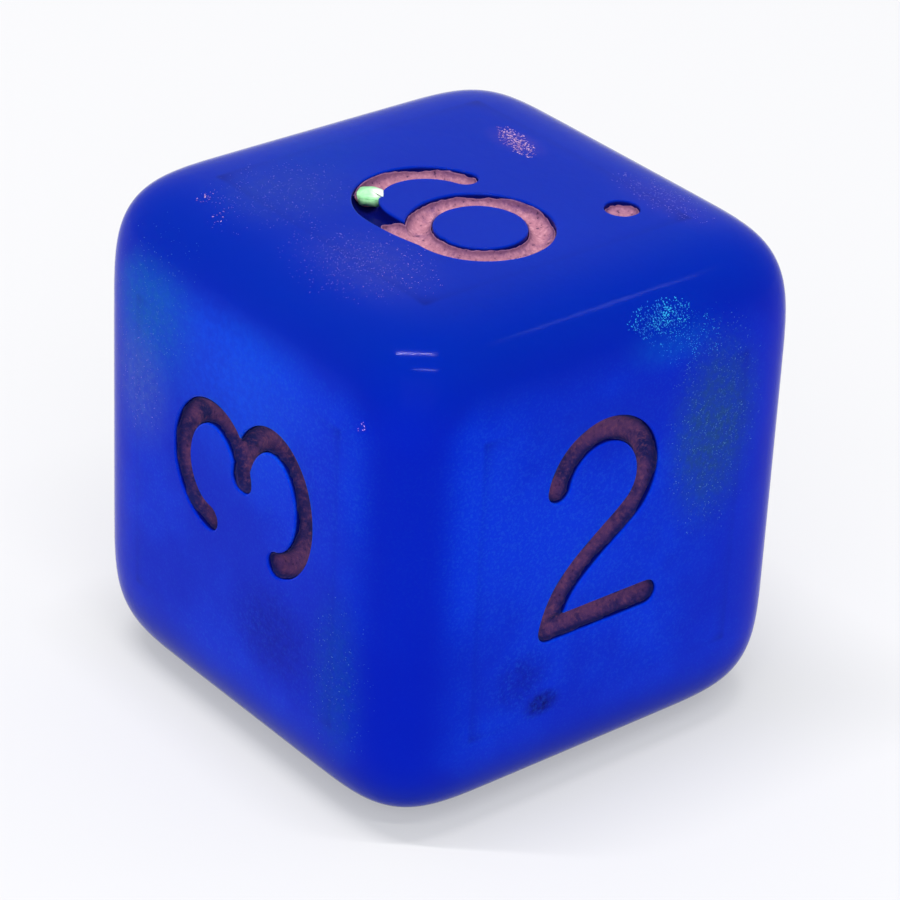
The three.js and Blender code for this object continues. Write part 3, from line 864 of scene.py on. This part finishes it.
# Each cluster: face, middle, reach across and up, turn, flakes per square millimetre, size.
FLAKES = {
    "rose_film": (film_finish("rose_film", (0.20, 0.07, 0.30), (0.66, 0.38, 0.56)), [
        ("six", (4.0, 1.9), (1.25, 0.45), 73, 420, 0.10),
        ("six", (-5.9, 4.3), (0.45, 0.3), 30, 110, 0.09),
        ("six", (-6.2, 3.1), (0.4, 0.35), 10, 110, 0.09),
        ("six", (-4.6, -2.4), (1.8, 2.4), 0, 24, 0.045),
        ("three", (5.5, -5.8), (0.25, 0.2), 0, 120, 0.09),
        ("five", (4.1, 1.5), (1.2, 0.5), 65, 200, 0.10),
    ], (9, 12, 14, 15, 16, 19)),
    "violet_film": (film_finish("violet_film", (0.06, 0.06, 0.34), (0.26, 0.20, 0.62)), [
        ("six", (5.3, -3.4), (1.0, 2.2), 0, 110, 0.06),
        ("six", (-4.2, 3.0), (2.6, 2.2), 20, 70, 0.045),
        ("six", (-4.9, -1.8), (2.0, 2.8), 0, 80, 0.045),
        ("three", (2.2, 4.9), (2.2, 1.6), 0, 50, 0.05),
        ("four", (-4.2, 3.1), (1.4, 0.8), 35, 160, 0.08),
    ], (10, 17, 18, 20)),
    "cyan_film": (film_finish("cyan_film", (0.0, 0.11, 0.52), (0.02, 0.42, 0.74)), [
        ("two", (1.6, 6.9), (1.25, 0.5), 0, 520, 0.085),
        ("two", (2.5, 6.2), (1.5, 1.0), -20, 200, 0.05),
        ("five", (-4.3, -3.9), (1.2, 0.8), 15, 200, 0.09),
    ], (1, 2, 3, 13)),
    "teal_film": (film_finish("teal_film", (0.0, 0.07, 0.28), (0.06, 0.22, 0.40)), [
        ("two", (3.8, 2.9), (2.0, 4.0), 0, 110, 0.055),
        ("three", (5.2, 4.2), (2.8, 2.6), 0, 40, 0.05),
        ("three", (-3.3, -5.2), (3.2, 1.5), 0, 36, 0.05),
        ("four", (4.2, -4.4), (1.2, 0.9), 40, 160, 0.08),
        ("one", (3.6, 2.2), (1.6, 2.2), 0, 60, 0.07),
    ], (4, 5, 6, 7, 8, 11)),
}

scatter, scatter_keys = flake_scatter()
skin_mesh = block_blank()
skin_mesh.transform(Matrix.Scale(MM, 4))
for number, (name, (finish, clusters, scraps)) in enumerate(FLAKES.items()):
    scrap = shown("scrap", scrap_mesh(float(number)))
    scrap.data.transform(Matrix.Scale(MM, 4))
    gathered = bmesh.new()
    for step, (digit, middle, reach, turn, per_area, size) in enumerate(clusters):
        cluster = shown("cluster", skin_mesh)
        laid = cluster.modifiers.new("flakes", "NODES")
        laid.node_group = scatter
        upright = face_frame(digit).to_3x3() @ Matrix.Rotation(math.radians(turn), 3, "Z")
        given = {
            "Scrap": scrap, "Finish": finish, "Seed": 10 * number + step,
            "Per Area": per_area / MM ** 2, "Centre": on_face(digit, *middle),
            "Reach": Vector((*reach, FLAKE_DEPTH_REACH)) * MM,
            "Turn": upright.inverted().to_euler(), "Size": size, "Tilt": FLAKE_TILT}
        for key, value in given.items():
            laid[scatter_keys[key]] = value
        ready = cluster.evaluated_get(bpy.context.evaluated_depsgraph_get())
        gathered.from_mesh(bpy.data.meshes.new_from_object(ready))
        bpy.data.objects.remove(cluster)
    flakes = bpy.data.meshes.new(name)
    gathered.to_mesh(flakes)
    gathered.free()
    bpy.data.objects.remove(scrap)
    nodes = [f"film_flake_{scrap_number:02}" for scrap_number in scraps]
    seated(name.replace("film", "flakes"), flakes, finish, nodes)


# ---------------------------------------------------------------------------------------------
# Studio
# A sheet of pale paper, lit softly from all round and through from below. Two long tubes overhead
# give the front corner its glints, and a small lamp behind draws the line along the top edge.
# ---------------------------------------------------------------------------------------------

CAMERA_AZIMUTH, CAMERA_ELEVATION, CAMERA_ROLL = 50.166, 29.342, 2.746
CAMERA_DISTANCE = 114.166 * MM
CAMERA_LENS = 149.072           # millimetres, on a sensor 36 mm wide
camera = bpy.data.objects.new("camera", bpy.data.cameras.new("camera"))
bpy.context.scene.collection.objects.link(camera)
turn, tilt, roll = map(math.radians, (CAMERA_AZIMUTH, CAMERA_ELEVATION, CAMERA_ROLL))
back = Vector((math.sin(turn) * math.cos(tilt), -math.cos(turn) * math.cos(tilt), math.sin(tilt)))
level = (-back).cross(Vector((0, 0, 1))).normalized()
upright = level.cross(-back)
right = level * math.cos(roll) + upright * math.sin(roll)
up = upright * math.cos(roll) - level * math.sin(roll)
camera.matrix_world = Matrix((right, up, back)).transposed().to_4x4()
camera.location = back * CAMERA_DISTANCE
camera.data.sensor_width = 36
camera.data.lens = CAMERA_LENS
camera.data.shift_x, camera.data.shift_y = 0.0098, -0.0157
camera.data.clip_start = 0.01
bpy.context.scene.camera = camera

PAPER_REACH = 1.5
paper_mesh = bpy.data.meshes.new("paper")
corners = [(-1, -1), (1, -1), (1, 1), (-1, 1)]
paper_mesh.from_pydata([(x * PAPER_REACH, y * PAPER_REACH, CAD_LOW.z) for x, y in corners], [], [(0, 1, 2, 3)])
paper = shown("paper", paper_mesh)
paper_made, place = new_material("paper")
finish_material(place, {
    "Base Color": (0.34, 0.34, 0.333, 1), "Roughness": 0.95, "Specular IOR Level": 0.0,
    "Emission Color": (0.98, 0.99, 1.0, 1), "Emission Strength": 0.36})
paper_mesh.materials.append(paper_made)


def soft_light(name, place, long_way, size, power, colour=(1, 1, 1)):
    """An oblong light aimed at the die; long_way is the direction its longer side runs."""
    lamp = bpy.data.lights.new(name, "AREA")
    lamp.shape, lamp.size, lamp.size_y, lamp.energy, lamp.color = "RECTANGLE", *size, power, colour
    holder = bpy.data.objects.new(name, lamp)
    bpy.context.scene.collection.objects.link(holder)
    away = Vector(place).normalized()
    across = away.cross(Vector(long_way)).normalized()
    holder.matrix_world = Matrix((across.cross(away), across, away)).transposed().to_4x4()
    holder.location = place
    return holder


ACROSS_VIEW = (0.67, 0.74, 0)
soft_light("tube_light", (-0.03, -0.055, 0.5), ACROSS_VIEW, (0.33, 0.011), 2.1, (1.0, 0.97, 1.0))
soft_light("second_tube", (0.26, -0.14, 0.55), ACROSS_VIEW, (0.32, 0.009), 0.8)
front_light = soft_light("front_light", (0.42, -0.36, 0.28), ACROSS_VIEW, (0.7, 0.5), 2.4)
front_light.visible_glossy = False
soft_light("edge_light", (0.18, 0.357, 0.447), ACROSS_VIEW, (0.05, 0.03), 0.05, (0.7, 0.8, 1.0))

world = bpy.data.worlds.new("studio")
bpy.context.scene.world = world
world.use_nodes = True
sky = world.node_tree.nodes["Background"]
sky.inputs["Color"].default_value = (0.9, 0.92, 1, 1)
sky.inputs["Strength"].default_value = 0.80
bpy.context.scene.view_settings.view_transform = "Standard"
